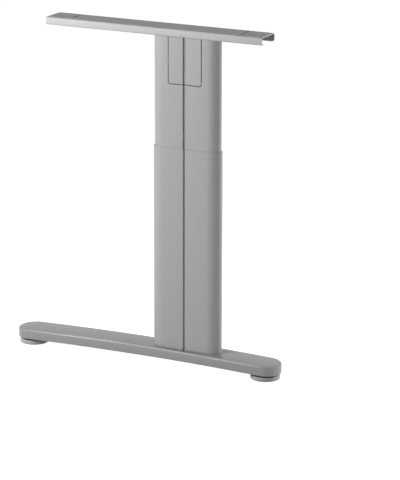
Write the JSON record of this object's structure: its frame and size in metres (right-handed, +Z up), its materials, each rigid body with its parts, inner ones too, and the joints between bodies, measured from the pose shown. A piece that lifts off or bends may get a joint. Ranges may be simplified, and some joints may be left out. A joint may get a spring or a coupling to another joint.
{
  "type": "height adjustable table leg",
  "caption": "Desk leg with an arched foot bar on levelling glides, a telescopic grooved oval column and a folded top rail with cross slots.",
  "frame": {"origin": "on the floor under the middle of the foot bar", "axes": "+X along the foot bar towards its short end, -Y out of the pictured face, +Z up the column"},
  "size_m": [0.634, 0.069, 0.738],
  "materials": {
    "column_paint": "fine powder coat, white aluminium, satin",
    "rail_paint": "fine powder coat, white aluminium, satin",
    "foot_paint": "die casting, fine powder coat, white aluminium, satin",
    "plain_steel": "plain rolled steel",
    "zinc_steel": "bright zinc plated",
    "black_plastic": "moulded, fine grain",
    "guide_plastic": "moulded, smooth",
    "grey_plastic": "moulded, satin"
  },
  "bodies": {
    "base": {"foot_bar": "foot_paint", "base_plate": "plain_steel", "base_bolts": "zinc_steel", "left_socket": "black_plastic", "right_socket": "black_plastic", "outer_column": "column_paint", "guide_liner": "guide_plastic", "clamp_plate": "plain_steel", "clamp_washers": "zinc_steel"},
    "upper": {"inner_column": "column_paint", "guide_shoe": "guide_plastic", "head_plate": "rail_paint", "top_rail": "rail_paint", "front_cover": "column_paint", "back_cover": "column_paint", "beam_bracket": "plain_steel"},
    "left_glide": {"left_stud": "zinc_steel", "left_disc": "grey_plastic"},
    "right_glide": {"right_stud": "zinc_steel", "right_disc": "grey_plastic"},
    "left_clamp": {"left_clamp_screw": "zinc_steel"},
    "right_clamp": {"right_clamp_screw": "zinc_steel"}
  },
  "joints": [
    {"name": "height_slide", "type": "slide", "parent": "base", "child": "upper", "axis": [0, 0, 1], "range_m": [-0.12, 0.08]},
    {"name": "left_glide_level", "type": "slide", "parent": "base", "child": "left_glide", "axis": [0, 0, -1], "range_m": [0, 0.01]},
    {"name": "right_glide_level", "type": "slide", "parent": "base", "child": "right_glide", "axis": [0, 0, -1], "range_m": [0, 0.01]},
    {"name": "left_clamp_turn", "type": "hinge", "parent": "base", "child": "left_clamp", "pos_m": [0.068, 0.0196, 0.35], "axis": [0, 1, 0], "range_deg": [0, 360]},
    {"name": "right_clamp_turn", "type": "hinge", "parent": "base", "child": "right_clamp", "pos_m": [0.128, 0.0196, 0.35], "axis": [0, 1, 0], "range_deg": [0, 360]}
  ]
}
